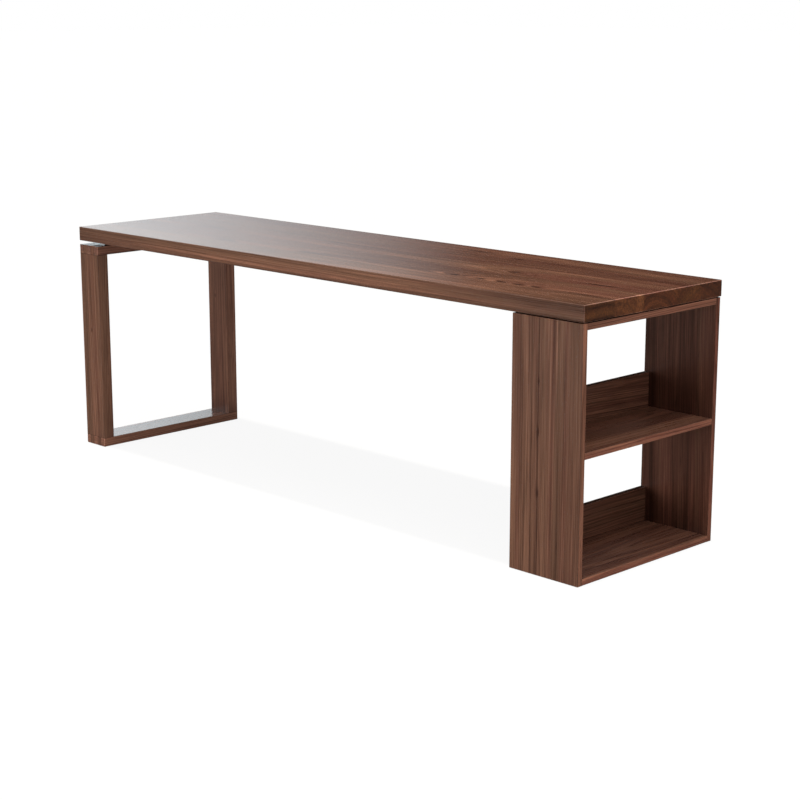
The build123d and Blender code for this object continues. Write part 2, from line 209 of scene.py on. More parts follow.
# Those of its bands, which share one pace along the grain and are kept apart by offsets
BANDS_ALONG_SHARE = 0.015
NARROW_BANDS = Noise(75.0, 3.0, 0.6)
WIDE_BANDS = Noise(16.0, 1.0, 0.5)
WARM_BANDS = Noise(38.0, 3.0, 0.6)
WIDE_OFFSET = (3.0, 8.0, 1.0)
WARM_OFFSET = (7.0, 3.0, 5.0)
# The values of their noises between which warmth, threads and pores come in
WARMED = (0.33, 0.67)
THREADED = (0.48, 0.62)
PORED = (0.6, 0.72)
# How near to its middle value the drawn-out noise makes a thread
THREAD_HALF_WIDTH = 0.03
# How strong the pores of the late wood are beside those of the early wood
LATE_PORE_SHARE = 0.35

# Plain finishes: the share to which their colour darkens in places, their roughness, how metallic
# they are, the scale of their specks and the depth of these
Finish = namedtuple("Finish", "dark_share roughness metallic scale depth")
FINISHES = {
    "stain": Finish(0.6, 0.6, 0.0, 60.0, 0.0002),
    "zinc": Finish(0.8, 0.32, 1.0, 300.0, 0.00003),
    "brass": Finish(0.8, 0.35, 1.0, 250.0, 0.00003),
    "beech": Finish(0.7, 0.6, 0.0, 400.0, 0.0001),
    "rubber": Finish(0.6, 0.7, 0.0, 500.0, 0.0001),
}
# How far their roughness swings to either side
ROUGHNESS_SWING = 0.08
# Strengths of the bump on walnut and on plain finishes
WALNUT_BUMP = 0.25
PLAIN_BUMP = 0.3

# Where each soft lamp stands, what it is aimed at and how long its side is
LAMPS = {
    "top_lamp": ((0.75, -0.55, 2.9), (0.45, 0.0, 0.7), 1.8),
    "front_lamp": ((0.05, -1.7, 0.15), (0.05, 0.0, 0.45), 1.0),
    "side_lamp": ((2.9, -0.3, 2.5), (1.0, 0.0, 0.4), 1.6),
}
# Heights between which the mirrored sky brightens, and those between which its overhead part sets
# in, as sines of the angle above the level
BRIGHTENING = (0.12, 0.24)
OVERHEAD = (0.5, 0.65)
# The floor: lines of its mesh each way, noise of its specks and the share to which they darken it
FLOOR_LINES = 9
FLOOR_SPECKS = Noise(30.0, 3.0, 0.5)
FLOOR_DARK_SHARE = 0.97
# How far the camera sees, which takes in the whole floor
VIEW_REACH = 200.0


class Wiring:
    """Short ways to add nodes to a tree and to join them."""

    def __init__(self, tree):
        self.tree = tree

    def add(self, kind, settings=None, **inputs):
        """Adds a shader node, sets its properties, and gives each named input a value or a link."""
        made = self.tree.nodes.new("ShaderNode" + kind)
        for key, value in (settings or {}).items():
            setattr(made, key, value)
        self.fill(made.inputs, **inputs)
        return made

    def fill(self, sockets, **values):
        """Gives each named socket its value or its link; underscores stand for spaces."""
        for name, value in values.items():
            self.feed(sockets[name.replace("_", " ")], value)

    def feed(self, socket, value):
        """Links an output into the socket, or writes a plain value into it."""
        if isinstance(value, bpy.types.NodeSocket):
            self.tree.links.new(value, socket)
        else:
            socket.default_value = value

    def in_order(self, kind, values, settings=None):
        """Adds a node, feeds its inputs in their own order and gives its outputs."""
        made = self.add(kind, settings)
        for socket, value in zip(made.inputs, values):
            self.feed(socket, value)
        return made.outputs

    def math(self, operation, *values, clamp=False):
        """The result of a Math node."""
        return self.in_order("Math", values, {"operation": operation, "use_clamp": clamp})[0]

    def plus(self, *values):
        """The sum of numbers."""
        return reduce(partial(self.math, "ADD"), values)

    def minus(self, first, second):
        """The difference of two numbers."""
        return self.math("SUBTRACT", first, second)

    def times(self, *values):
        """The product of numbers."""
        return reduce(partial(self.math, "MULTIPLY"), values)

    def vector(self, operation, *values):
        """The vector that a Vector Math node gives."""
        return self.in_order("VectorMath", values, {"operation": operation})["Vector"]

    def measure(self, operation, *values):
        """The number that a Vector Math node gives, such as a length."""
        return self.in_order("VectorMath", values, {"operation": operation})["Value"]

    def scaled(self, vector, factor):
        """The vector times a number."""
        made = self.add("VectorMath", {"operation": "SCALE"}, Vector=vector, Scale=factor)
        return made.outputs["Vector"]

    def parts(self, vector):
        """The vector's three numbers, by axis."""
        return self.add("SeparateXYZ", Vector=vector).outputs

    def noise(self, position, form):
        """Fractal noise of the given form about a place, as a colour and as a number."""
        values = {"Scale": form.scale, "Detail": form.detail, "Roughness": form.roughness}
        return self.add("TexNoise", Vector=position, **values).outputs

    def noise_line(self, place, scale, detail):
        """Fractal noise along a line, as a number."""
        line = {"noise_dimensions": "1D"}
        return self.add("TexNoise", line, W=place, Scale=scale, Detail=detail).outputs["Fac"]

    def ramp(self, value, low, high, to_low=0.0, to_high=1.0, kind="SMOOTHSTEP"):
        """The value carried from one range to another, smoothly or in a straight line."""
        limits = {"From_Min": low, "From_Max": high, "To_Min": to_low, "To_Max": to_high}
        made = self.add("MapRange", {"interpolation_type": kind}, Value=value, **limits)
        return made.outputs["Result"]

    def between(self, share, first, second):
        """The number that lies between two others, by a share from nought to one."""
        return self.ramp(share, 0.0, 1.0, first, second, kind="LINEAR")

    def mix(self, factor, first, second, blend="MIX"):
        """Two colours mixed by a factor; the node's colour sockets come after its number ones."""
        made = self.add("Mix", {"data_type": "RGBA", "blend_type": blend})
        for index, value in ((0, factor), (6, first), (7, second)):
            self.feed(made.inputs[index], value)
        return made.outputs[2]

    def tinted(self, colour, share, tint):
        """The colour multiplied by a tint where the share is one."""
        return self.mix(1.0, colour, self.mix(share, WHITE, tint), "MULTIPLY")


def new_group(name, inputs, outputs):
    """An empty shader node group, the wiring to fill it, and its named inner sockets.

    Each input comes with its default: one number, three for a vector or four for a colour. Each
    output comes with its kind.
    """
    group = bpy.data.node_groups.new(name, "ShaderNodeTree")
    kinds = {1: "Float", 3: "Vector", 4: "Color"}
    for label, value in inputs.items():
        kind = "NodeSocket" + kinds[np.size(value)]
        socket = group.interface.new_socket(name=label, in_out="INPUT", socket_type=kind)
        socket.default_value = value
    for label, kind in outputs.items():
        group.interface.new_socket(name=label, in_out="OUTPUT", socket_type="NodeSocket" + kind)
    given = group.nodes.new("NodeGroupInput").outputs
    result = group.nodes.new("NodeGroupOutput").inputs
    return group, Wiring(group), given, result


def make_log_group():
    """Solid wood about the log's pith, which runs along X and may rise along a smooth step.

    The distance from the pith, bent by slow and by quick noise, gives Rings, Bands and Warmth.
    Lines: thin threads where a drawn-out noise passes its middle. Fibres: fine noise drawn out
    along X. Pores: finer noise, drawn out less and kept only where it is strongest. Mottle: even
    noise, for sawn ends.
    """
    group, w, given, result = new_group(
        "log_figure",
        {
            "Vector": ORIGIN,
            "Ring Width": 0.006,
            "Ring Power": 2.6,
            "Ring Strength": 1.6,
            "Wander": 0.008,
            "Slow Share": 4.0,
            "Quick Share": 0.35,
            "Rise": 0.0,
            "Rise Start": 0.0,
            "Rise End": 1.0,
            "Wide": 0.8,
            "Late": 1.0,
            "Calm": 0.0,
            "Calm Start": 0.45,
            "Calm End": -0.15,
            "Seed": 0.0,
        },
        dict.fromkeys(FIGURE_MASKS, "Float"),
    )
    seed = given["Seed"]
    shift = w.add("CombineXYZ", X=seed, Y=seed, Z=seed).outputs[0]
    along = w.parts(given["Vector"])["X"]
    step = w.ramp(along, given["Rise Start"], given["Rise End"])
    lowered = w.times(step, given["Rise"], -1.0)
    place = w.vector("ADD", given["Vector"], w.add("CombineXYZ", Z=lowered).outputs[0])

    def grain_noise(position, form):
        """Noise drawn out along the grain, by the board's own seed."""
        drawn = w.vector("MULTIPLY", position, (form.along_share, 1.0, 1.0))
        return w.noise(w.vector("ADD", drawn, shift), form)

    def bend(form, share):
        """A swing to all sides, by a share of the wander."""
        swing = w.vector("SUBTRACT", grain_noise(place, form)["Color"], (0.5, 0.5, 0.5))
        return w.scaled(swing, w.times(given["Wander"], given[share]))

    slowly_bent = w.vector("ADD", place, bend(SLOW_BEND, "Slow Share"))
    bent = w.vector("ADD", slowly_bent, bend(QUICK_BEND, "Quick Share"))
    distance = w.measure("LENGTH", w.vector("MULTIPLY", bent, (0.0, 1.0, 1.0)))
    seeded_distance = w.plus(distance, seed)
    age, rings = yearly_rings(w, given, distance, seeded_distance)
    bands, warmth = broad_bands(w, given, along, w.parts(bent)["X"], seeded_distance)
    w.fill(result, Rings=rings, Bands=bands, Warmth=warmth)

    off_middle = w.math("ABSOLUTE", w.minus(grain_noise(bent, THREADS)["Fac"], 0.5))
    presence = w.ramp(grain_noise(bent, THREAD_PLACES)["Fac"], *THREADED)
    presence = w.times(presence, given["Late"])
    lines = w.times(w.ramp(off_middle, THREAD_HALF_WIDTH, 0.0), presence)
    w.fill(result, Lines=lines, Fibres=grain_noise(bent, FIBRES)["Fac"])
    pores = w.ramp(grain_noise(bent, PORES)["Fac"], *PORED)
    pores = w.times(pores, w.ramp(age, 0.85, 0.15, LATE_PORE_SHARE, 1.0))
    w.fill(result, Pores=pores, Mottle=grain_noise(bent, MOTTLE)["Fac"])
    return group


def yearly_rings(w, given, distance, seeded_distance):
    """The age of the wood within its year, and the dark late wood, stronger in some years.

    The distance over the ring width is counted with an uneven part added. Its fraction is the age;
    the late wood is the age raised to a power, and ends smoothly at the year's end.
    """
    unevenness = 2.2
    uneven_scale = 45.0
    year_scale = 0.7
    faintest_year = 0.35
    uneven = w.times(w.noise_line(seeded_distance, uneven_scale, 1.0), unevenness)
    count = w.plus(w.math("DIVIDE", distance, given["Ring Width"]), uneven)
    age = w.math("FRACT", count)
    late = w.times(w.math("POWER", age, given["Ring Power"]), w.ramp(age, 1.0, 0.9))
    year = w.plus(w.math("FLOOR", count), given["Seed"])
    strength = w.ramp(w.noise_line(year, year_scale, 0.0), 0.3, 0.7, faintest_year, 1.0)
    return age, w.times(late, given["Ring Strength"], strength, given["Late"])


def broad_bands(w, given, along, bent_along, seeded_distance):
    """The bands of tone and the warmth: three noises over the distance from the pith, kept apart
    by offsets and drawn out along the grain; the bands swing less where the board is calm."""
    far_along = w.times(bent_along, BANDS_ALONG_SHARE)
    place = w.add("CombineXYZ", X=far_along, Y=seeded_distance).outputs[0]
    narrow = w.minus(w.noise(place, NARROW_BANDS)["Fac"], 0.5)
    wide_place = w.vector("ADD", place, WIDE_OFFSET)
    wide = w.minus(w.noise(wide_place, WIDE_BANDS)["Fac"], 0.5)
    warm_place = w.vector("ADD", place, WARM_OFFSET)
    warm = w.noise(warm_place, WARM_BANDS)["Fac"]
    swing = w.math("MULTIPLY_ADD", wide, given["Wide"], narrow)
    calmed = w.times(w.ramp(along, given["Calm Start"], given["Calm End"]), given["Calm"])
    bands = w.math("MULTIPLY_ADD", swing, w.minus(1.0, calmed), 0.5)
    return bands, w.ramp(warm, *WARMED, kind="LINEAR")


def make_knot_group():
    """A small knot: the figure's coordinates draw together about its middle, by a bell-shaped share
    of the distance from it, so that the rings part round the knot; its core is dark."""
    group, w, given, result = new_group(
        "knot",
        {"Vector": ORIGIN, "Middle": ORIGIN, "Size": 0.01},
        {"Vector": "Vector", "Core": "Float"},
    )
    along_share = 0.4
    pull_share = 0.9
    offset = w.vector("SUBTRACT", given["Vector"], given["Middle"])
    distance = w.measure("LENGTH", w.vector("MULTIPLY", offset, (along_share, 1.0, 1.0)))
    away = w.math("DIVIDE", distance, given["Size"])
    bell = w.math("EXPONENT", w.times(away, away, -0.5))
    pulled = w.scaled(w.vector("MULTIPLY", offset, (0.0, -pull_share, -pull_share)), bell)
    w.fill(result, Vector=w.vector("ADD", given["Vector"], pulled), Core=w.ramp(away, 0.8, 0.25))
    return group


def make_streak_group():
    """One streak of tone, also used for patches of painted shade and painted light: its tone falls off
    from its middle by a bell of the distance, measured in its own reach each way, and is broken up by
    the fibres."""
    group, w, given, result = new_group(
        "streak",
        {
            "Vector": ORIGIN,
            "Fibres": 0.5,
            "Middle": ORIGIN,
            "Reach": (1.0, 1.0, 1.0),
            "Tone": 0.0,
            "Fibre Share": 1.6,
            "Plain Share": 0.2,
        },
        {"Tone": "Float"},
    )
    offset = w.vector("DIVIDE", w.vector("SUBTRACT", given["Vector"], given["Middle"]), given["Reach"])
    bell = w.math("EXPONENT", w.times(w.measure("DOT_PRODUCT", offset, offset), -1.0))
    broken = w.math("MULTIPLY_ADD", given["Fibres"], given["Fibre Share"], given["Plain Share"])
    w.fill(result, Tone=w.times(bell, broken, given["Tone"]))
    return group


def make_walnut_group():
    """Walnut's colour, roughness and relief, from the figure of the log.

    The tone is a sum of bands, fibres, lines, rings and streaks, patches of painted shade and painted
    light among the streaks, and of mottling on sawn ends. It runs from the dark colour over a middle
    one to the light one, and the middle lies between a red and an olive brown by the warmth. Sawn
    ends are tinted where their masks say so; lippings are lightened, partly as painted light; arrises
    along the grain are darkened as painted shade and those across it lightened as a painted highlight.
    """
    group, w, given, result = new_group(
        "walnut_surface",
        dict.fromkeys(FIGURE_MASKS + FACING_MASKS + ("Knot", "Joint", "Streaks", "Tone", "Hue"), 0.0)
        | dict.fromkeys(WALNUT_COLOURS + ("End Tint",), WHITE)
        | {
            "Contrast": 1.05,
            "Middle Tone": 0.545,
            "Ring Tone": -0.42,
            "Line Tone": -0.22,
            "Mottle Tone": 1.2,
            "Roughness": 0.3,
        },
        {"Color": "Color", "Roughness": "Float", "Height": "Float"},
    )
    fibres = w.minus(given["Fibres"], 0.5)
    colour = walnut_colour(w, given, walnut_tone(w, given, fibres))
    relief = w.minus(w.times(given["Fibres"], FIBRE_HEIGHT), given["Pores"])
    relief = w.minus(relief, w.times(given["Rings"], RING_DEPTH))
    w.fill(result, Color=colour, Roughness=walnut_roughness(w, given, fibres), Height=relief)
    return group


def walnut_tone(w, given, fibres):
    """The tone, from nought for dark to one for light; rings are fainter on sawn ends."""
    end_fading = 0.2
    end = given["End Grain"]
    bands = w.minus(given["Bands"], 0.5)
    mottle = w.times(w.minus(given["Mottle"], 0.5), end, given["Mottle Tone"])
    ring_tone = w.math("MULTIPLY_ADD", end, end_fading, given["Ring Tone"])
    rings = w.times(given["Rings"], ring_tone)
    lines = w.times(given["Lines"], given["Line Tone"])
    tone = w.plus(bands, fibres, rings, lines, mottle, given["Tone"], given["Streaks"])
    return w.math("MULTIPLY_ADD", tone, given["Contrast"], given["Middle Tone"], clamp=True)


def walnut_colour(w, given, tone):
    """The colour of a tone, darkened in pores, knots and glue lines, and tinted by the masks: lippings
    lightened partly as painted light, painted shade on arrises along the grain and a painted
    highlight on those across it.
    """
    hue = w.math("ADD", given["Warmth"], given["Hue"], clamp=True)
    middle = w.mix(hue, given["Red"], given["Olive"])
    lower = w.mix(w.ramp(tone, 0.0, 0.5, kind="LINEAR"), given["Dark"], middle)
    colour = w.mix(w.ramp(tone, 0.5, 1.0, kind="LINEAR"), lower, given["Light"])
    dark = 0.0
    for mask, share in DARKENING_SHARES.items():
        dark = w.math("MAXIMUM", w.times(given[mask], share), dark)
    colour = w.mix(dark, colour, given["Dark"])
    colour = w.tinted(colour, given["End Grain"], given["End Tint"])
    # Lippings partly painted light, arrises along the grain painted shade, those across it a painted
    # highlight
    for mask, tint in PAINTED_LIGHT_AND_LIPPING_TINTS.items():
        colour = w.tinted(colour, given[mask], tint)
    return colour


def walnut_roughness(w, given, fibres):
    """The finish's roughness, raised in pores, on sawn ends and on arrises, and by the fibres."""
    arris = w.math("MAXIMUM", given["Arris"], given["End Arris"])
    masks = {"Pores": given["Pores"], "End Grain": given["End Grain"], "Arris": arris, "Fibres": fibres}
    roughness = given["Roughness"]
    for label, mask in masks.items():
        roughness = w.plus(roughness, w.times(mask, ROUGHENING[label]))
    return roughness


def make_facing_group():
    """How a surface is turned: towards the grain or the lipping, or askew as on a planed arris.

    End Grain and Edge rise with the share of the normal along the grain and along the lipping's
    own direction. Arris is one where the normal's largest part falls short of one, which is only
    on the narrow faces between square sides; End Arris is the same where the narrow face runs
    across the grain.
    """
    group, w, given, result = new_group(
        "board_facing",
        {"Normal": ORIGIN, "Grain": (1.0, 0.0, 0.0), "Edge": ORIGIN},
        dict.fromkeys(FACING_MASKS, "Float"),
    )
    square_on = (0.75, 0.95)
    askew = (0.97, 0.85)
    turned_to_end = (0.3, 0.6)
    normal = w.vector("NORMALIZE", given["Normal"])
    share = w.math("ABSOLUTE", w.measure("DOT_PRODUCT", normal, given["Grain"]))
    edge_share = w.math("ABSOLUTE", w.measure("DOT_PRODUCT", normal, given["Edge"]))
    w.fill(result, End_Grain=w.ramp(share, *square_on), Edge=w.ramp(edge_share, *square_on))
    parts = w.parts(w.vector("ABSOLUTE", normal))
    largest = w.math("MAXIMUM", w.math("MAXIMUM", parts["X"], parts["Y"]), parts["Z"])
    arris = w.ramp(largest, *askew)
    by_end = w.ramp(share, *turned_to_end)
    w.fill(result, End_Arris=w.times(arris, by_end), Arris=w.times(arris, w.minus(1.0, by_end)))
    return group


def make_comb_group():
    """Glue lines of the leg's comb joints: thin upright lines between the fingers, a finger's width
    apart, and level ones where the fingers end, kept inside the loop's four corners."""
    group, w, given, result = new_group(
        "comb_lines",
        {
            "Vector": ORIGIN,
            "Half Size": (0.05, 0.3, 0.35),
            "Window": (1.0, 0.25, 0.3),
            "Finger": 0.02,
            "Width": 0.0008,
        },
        {"Joint": "Float"},
    )
    parts = w.parts(w.vector("ABSOLUTE", given["Vector"]))
    half = w.parts(given["Half Size"])
    window = w.parts(given["Window"])
    fingers = w.math("DIVIDE", w.minus(half["X"], parts["X"]), given["Finger"])
    off_line = w.times(w.math("PINGPONG", fingers, 0.5), given["Finger"])
    inside = w.math("GREATER_THAN", fingers, 0.5)
    above = w.math("GREATER_THAN", parts["Z"], window["Z"])
    upright = w.times(w.math("LESS_THAN", off_line, given["Width"]), inside, above)
    off_end = w.math("ABSOLUTE", w.minus(parts["Z"], window["Z"]))
    lines = w.math("MAXIMUM", upright, w.math("LESS_THAN", off_end, given["Width"]))
    w.fill(result, Joint=w.times(lines, w.math("GREATER_THAN", parts["Y"], window["Y"])))
    return group


def make_speckle_group():
    """Specks of a plain finish: coarse noise and, at a multiple of its scale, fine noise. The mask
    is their sum by shares, stretched; the grain is the fine noise alone."""
    group, w, given, result = new_group(
        "speckle",
        {"Vector": ORIGIN, "Scale": 100.0, "Fineness": 9.0, "Coarse Share": 0.6, "Fine Share": 0.4},
        {"Mask": "Float", "Grain": "Float"},
    )
    fine_scale = w.times(given["Scale"], given["Fineness"])
    coarse = w.noise(given["Vector"], Noise(given["Scale"], 3.0, 0.55))["Fac"]
    fine = w.noise(given["Vector"], Noise(fine_scale, 2.0, 0.6))["Fac"]
    both = w.plus(w.times(coarse, given["Coarse Share"]), w.times(fine, given["Fine Share"]))
    w.fill(result, Mask=w.ramp(both, 0.35, 0.65), Grain=fine)
    return group


def put_group(w, name, make, **inputs):
    """Places a shared node group in a material and feeds its inputs."""
    shared = bpy.data.node_groups.get(name) or make()
    return w.add("Group", {"node_tree": shared}, **inputs).outputs


def emptied(owner):
    """The wiring of a material or a world, cleared of what it holds."""
    owner.use_nodes = True
    owner.node_tree.nodes.clear()
    return Wiring(owner.node_tree)


def new_material(name):
    """An empty material, its wiring and its surface shader."""
    material = bpy.data.materials.new(name)
    w = emptied(material)
    shader = w.add("BsdfPrincipled")
    w.add("OutputMaterial", Surface=shader.outputs[0])
    return material, w, shader


def add_bump(w, shader, height, strength, depth):
    """Lets the height turn the shader's normals."""
    bump = w.add("Bump", Height=height, Strength=strength, Distance=depth)
    w.feed(shader.inputs["Normal"], bump.outputs[0])


def opaque(colour, share=1.0):
    """The colour, darkened to a share of itself, as the four numbers that a node takes."""
    return (*(share * part for part in colour), 1.0)


def log_place(w, place, name):
    """A place on the board, carried into the frame of its log: grain along X, pith at the origin."""
    cut = CUTS[name]
    low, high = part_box(name)
    steps = (
        {"Location": tuple(-(low + high) / 2)},
        {"Rotation": GRAIN_TURNS[cut.grain]},
        {
            "Location": (0.0, -cut.pith[0], -cut.pith[1]),
            "Rotation": (0.0, math.radians(cut.lean[0]), math.radians(cut.lean[1])),
        },
    )
    for step in steps:
        place = w.add("Mapping", {"vector_type": "POINT"}, Vector=place, **step).outputs[0]
    return place


def from_pith(name, middle):
    """A place given from the board's middle, counted from the log's pith instead."""
    pith = CUTS[name].pith
    return (middle[0], middle[1] - pith[0], middle[2] - pith[1])


def knotted(w, place, name):
    """The place with the figure drawn together about the board's knots, and their cores."""
    core = 0.0
    for middle, size in KNOTS.get(name, []):
        log_middle = from_pith(name, middle)
        knot = put_group(w, "knot", make_knot_group, Vector=place, Middle=log_middle, Size=size)
        place = knot["Vector"]
        core = w.math("MAXIMUM", knot["Core"], core)
    return place, core


def streaks_and_painted_shading(w, place, fibres, name):
    """The sum of the board's single streaks and patches of painted shade and painted light."""
    total = 0.0
    for middle, reach, tone in STREAKS_AND_PAINTED_SHADING.get(name, []):
        streak = put_group(
            w,
            "streak",
            make_streak_group,
            Vector=place,
            Fibres=fibres,
            Middle=from_pith(name, middle),
            Reach=reach,
            Tone=tone,
        )
        total = w.plus(streak["Tone"], total)
    return total


def log_figure(w, place, name, settings):
    """The figure of the board's log."""
    rise, rise_start, rise_end = RISES.get(name, (0.0, 0.0, 1.0))
    return put_group(
        w,
        "log_figure",
        make_log_group,
        Vector=place,
        Ring_Width=settings.ring_width,
        Wander=settings.wander,
        Rise=rise,
        Rise_Start=rise_start,
        Rise_End=rise_end,
        Wide=CUTS[name].wide,
        Late=CUTS[name].late,
        Calm=settings.calm if name in TOP_BOARDS else 0.0,
        Seed=CUTS[name].seed,
    )


def comb_lines(w, place, name):
    """The glue lines on a member of the loop leg, and none on other boards."""
    if name not in LEG_MEMBERS:
        return 0.0
    low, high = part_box("leg_front_post")
    _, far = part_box("leg_rear_post")
    _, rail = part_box("leg_bottom_rail")
    half = (far - low) / 2
    post = high[1] - low[1]
    rail_height = rail[2] - low[2]
    return put_group(
        w,
        "comb_lines",
        make_comb_group,
        Vector=w.vector("SUBTRACT", place, tuple((low + far) / 2)),
        Half_Size=tuple(half),
        Window=(half[0], half[1] - post, half[2] - rail_height),
        Finger=2 * half[0] / FINGER_COUNT,
    )["Joint"]


def board_facing(w, normal, name):
    """How the board's surface is turned to its grain and to its lipping."""
    return put_group(
        w,
        "board_facing",
        make_facing_group,
        Normal=normal,
        Grain=[float(axis == CUTS[name].grain) for axis in "XYZ"],
        Edge=(float(name in LIPPED_WITH_PAINTED_LIGHT), 0.0, 0.0),
    )


def walnut_material(name):
    """Walnut for one board, sawn from its own log as CUTS says."""
    settings = bpy.context.scene.desk_walnut
    material, w, shader = new_material(name + "_walnut")
    coordinates = w.add("TexCoord").outputs
    place, core = knotted(w, log_place(w, coordinates["Object"], name), name)
    figure = log_figure(w, place, name, settings)
    facing = board_facing(w, coordinates["Normal"], name)
    roughness, specular = DULLER.get(name, (settings.roughness, settings.specular))
    surface = put_group(
        w,
        "walnut_surface",
        make_walnut_group,
        **{label: figure[label] for label in FIGURE_MASKS},
        **{label: facing[label] for label in FACING_MASKS},
        **{label: opaque(getattr(settings, label.lower())) for label in WALNUT_COLOURS},
        Knot=core,
        Streaks=streaks_and_painted_shading(w, place, figure["Fibres"], name),
        Joint=comb_lines(w, coordinates["Object"], name),
        Tone=CUTS[name].tone,
        Hue=CUTS[name].hue,
        End_Tint=opaque(END_TINTS.get(name, END_TINT)),
        Roughness=roughness,
    )
    w.fill(shader.inputs, Base_Color=surface["Color"], Roughness=surface["Roughness"])
    w.fill(shader.inputs, Specular_IOR_Level=specular)
    add_bump(w, shader, surface["Height"], WALNUT_BUMP, settings.pore_depth)
    return material


def plain_material(name, kind):
    """A plain finish of one kind, whose colour and roughness shift a little over the surface."""
    finish = FINISHES[kind]
    colour = getattr(bpy.context.scene.desk_hardware, kind)
    material, w, shader = new_material(f"{name}_{kind}")
    place = w.add("TexCoord").outputs["Object"]
    speckle = put_group(w, "speckle", make_speckle_group, Vector=place, Scale=finish.scale)
    smoothest = finish.roughness - ROUGHNESS_SWING
    roughest = finish.roughness + ROUGHNESS_SWING
    mixed = w.mix(speckle["Mask"], opaque(colour), opaque(colour, finish.dark_share))
    roughness = w.ramp(speckle["Grain"], 0.2, 0.8, smoothest, roughest)
    w.fill(shader.inputs, Base_Color=mixed, Roughness=roughness, Metallic=finish.metallic)
    add_bump(w, shader, speckle["Grain"], PLAIN_BUMP, finish.depth)
    return material


def dress(names, make, *details):
    """Gives each named node the material that make returns for its name and the details."""
    for name in names:
        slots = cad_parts[name].data.materials
        material = make(name, *details)
        if len(slots) == 0:
            slots.append(material)
        for i in range(len(slots)):
            slots[i] = material


def bright_share(w, place, settings):
    """One about the bright side's bearing and nought away from it, seen from above."""
    flat = w.vector("NORMALIZE", w.vector("MULTIPLY", place, (1.0, 1.0, 0.0)))
    bearing = settings.bright_bearing
    facing = w.measure("DOT_PRODUCT", flat, (math.cos(bearing), math.sin(bearing), 0.0))
    edges = math.cos(settings.bright_outer), math.cos(settings.bright_inner)
    return w.ramp(facing, *edges, kind="LINEAR")


def ray_masks(w):
    """Whether the ray comes from the camera, straight or through glass, and whether it is a
    reflection."""
    rays = w.add("LightPath").outputs
    return w.math("MAXIMUM", rays["Is Camera Ray"], rays["Is Transmission Ray"]), rays["Is Glossy Ray"]


def make_sky(settings):
    """The studio's walls: white to the camera, plain light on the object, and in reflections
    bright on one side, brighter higher up, and dark on the other, with a soft edge between;
    overhead the two sides change places."""
    world = bpy.data.worlds.new("studio")
    bpy.context.scene.world = world
    w = emptied(world)
    place = w.add("TexCoord").outputs["Generated"]
    height = w.parts(place)["Z"]
    share = bright_share(w, place, settings)
    brightest = settings.bright_side * settings.bright_rise
    bright = w.ramp(height, *BRIGHTENING, settings.bright_side, brightest, kind="LINEAR")
    low = w.between(share, settings.dark_side, bright)
    high = w.between(share, settings.overhead_dark_side, settings.overhead_bright_side)
    mirrored = w.between(w.ramp(height, *OVERHEAD), low, high)
    seen, glossy = ray_masks(w)
    plain = w.between(seen, settings.sky_level, 1.0)
    tint = w.mix(glossy, WHITE, opaque(settings.bright_colour))
    background = w.add("Background", Color=tint, Strength=w.between(glossy, plain, mirrored))
    w.add("OutputWorld", Surface=background.outputs[0])


def floor_material(settings):
    """A pale floor: nearly white to the camera, so that only a faint shadow stays on it, plain
    paint for the light that it sends up, and one dim level in reflections."""
    material = bpy.data.materials.new("floor_paint")
    w = emptied(material)
    place = w.add("TexCoord").outputs["Object"]
    seen, glossy = ray_masks(w)
    specks = w.ramp(w.noise(place, FLOOR_SPECKS)["Fac"], 0.3, 0.7)
    darker = opaque(settings.floor_colour, FLOOR_DARK_SHARE)
    colour = w.mix(specks, opaque(settings.floor_colour), darker)
    paint = w.add("BsdfDiffuse", Color=colour).outputs[0]
    reflected = w.add("Emission", Strength=settings.floor_shine).outputs[0]
    unseen = w.in_order("MixShader", (glossy, paint, reflected))[0]
    shaded = w.add("BsdfDiffuse", Color=opaque([settings.shadow_depth] * 3)).outputs[0]
    white = w.add("Emission", Strength=settings.floor_whiteness).outputs[0]
    pale = w.in_order("AddShader", (shaded, white))[0]
    surface = w.in_order("MixShader", (seen, unseen, pale))[0]
    w.add("OutputMaterial", Surface=surface)
    return material


def new_object(name, data):
    """A new object in the scene."""
    made = bpy.data.objects.new(name, data)
    bpy.context.scene.collection.objects.link(made)
    return made


def make_floor(settings):
    """A level square surface: x and y run over a grid of two parameters and z stays at nought."""
    reach = np.linspace(-settings.floor_reach, settings.floor_reach, FLOOR_LINES)
    x, y = np.meshgrid(reach, reach, indexing="ij")
    points = np.stack([x, y, np.zeros_like(x)], axis=-1).reshape(-1, 3)
    index = np.arange(FLOOR_LINES**2).reshape(FLOOR_LINES, FLOOR_LINES)
    corners = [index[:-1, :-1], index[1:, :-1], index[1:, 1:], index[:-1, 1:]]
    quads = np.stack(corners, axis=-1).reshape(-1, 4)
    mesh = bpy.data.meshes.new("floor")
    mesh.from_pydata(points.tolist(), [], quads.tolist())
    mesh.materials.append(floor_material(settings))
    new_object("floor", mesh)


def make_lamp(name, power, colour=WHITE[:3]):
    """A square soft lamp, placed and aimed as LAMPS says."""
    place, target, size = LAMPS[name]
    light = bpy.data.lights.new(name, "AREA")
    light.shape = "SQUARE"
    light.size = size
    light.energy = power
    light.color = colour
    lamp = new_object(name, light)
    lamp.location = place
    aim = Vector(target) - Vector(place)
    lamp.rotation_euler = aim.to_track_quat("-Z", "Y").to_euler()
    lamp.visible_glossy = False
    lamp.visible_camera = False


def make_sun(settings):
    """A narrow light from straight above, which draws the worktop's pale shadow on the floor."""
    light = bpy.data.lights.new("sun", "SUN")
    light.energy = settings.sun_strength
    light.color = settings.overhead_colour
    light.angle = settings.sun_spread
    sun = new_object("sun", light)
    sun.rotation_euler = settings.sun_tilt
    sun.visible_glossy = False


